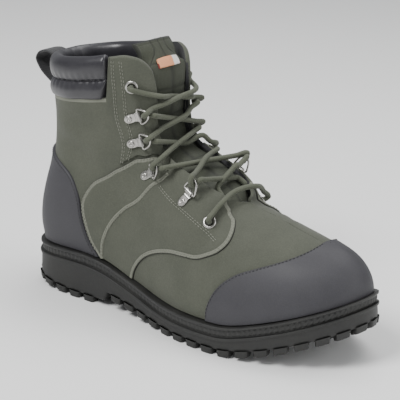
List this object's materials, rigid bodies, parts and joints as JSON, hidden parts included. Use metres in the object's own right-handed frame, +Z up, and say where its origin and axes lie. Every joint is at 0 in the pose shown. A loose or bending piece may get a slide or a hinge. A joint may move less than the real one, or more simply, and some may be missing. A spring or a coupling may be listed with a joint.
{
  "type": "wading boot",
  "caption": "Right-foot lace-up ankle boot for wading: hollow upper with toe cap and heel counter, padded collar, tongue and lugged rubber sole.",
  "frame": {"origin": "middle of the boot's box in plan, on the floor it stands on", "axes": "+X towards the toe, +Y towards the inner (medial) side of the foot, +Z up"},
  "size_m": [0.324, 0.115, 0.2107],
  "materials": {
    "rubber": "matte black, moulded",
    "welt": "matte, ribbed side",
    "lining": "dark felted lining",
    "upper": "olive grey, nubuck-like",
    "tongue": "olive nylon, quilted",
    "coated": "dark coated leather, satin",
    "collar": "padded, soft gloss",
    "tab": "blank woven tab",
    "webbing": "black webbing",
    "lace": "round braided cord",
    "metal": "nickel plated"
  },
  "bodies": {
    "root": {"outsole": "rubber", "welt": "welt", "insole": "lining", "upper": "upper", "tongue": "tongue", "toe_cap": "coated", "heel_counter": "coated", "strap_outer": "upper", "strap_inner": "upper", "quarter_outer": "upper", "quarter_inner": "upper", "facing_outer": "upper", "facing_inner": "upper", "collar": "collar", "tongue_tab": "tab", "pull_loop": "webbing", "lace": "lace", "lace_bar": "lace", "eyelet_top_outer": "metal", "eyelet_low_outer": "metal", "clip_1_outer": "metal", "ring_1_outer": "metal", "clip_2_outer": "metal", "ring_2_outer": "metal", "clip_3_outer": "metal", "ring_3_outer": "metal", "clip_4_outer": "metal", "ring_4_outer": "metal", "eyelet_top_inner": "metal", "eyelet_low_inner": "metal", "clip_1_inner": "metal", "ring_1_inner": "metal", "clip_2_inner": "metal", "ring_2_inner": "metal", "clip_3_inner": "metal", "ring_3_inner": "metal", "clip_4_inner": "metal", "ring_4_inner": "metal", "drain_rear": "metal", "drain_front": "metal"}
  },
  "joints": []
}
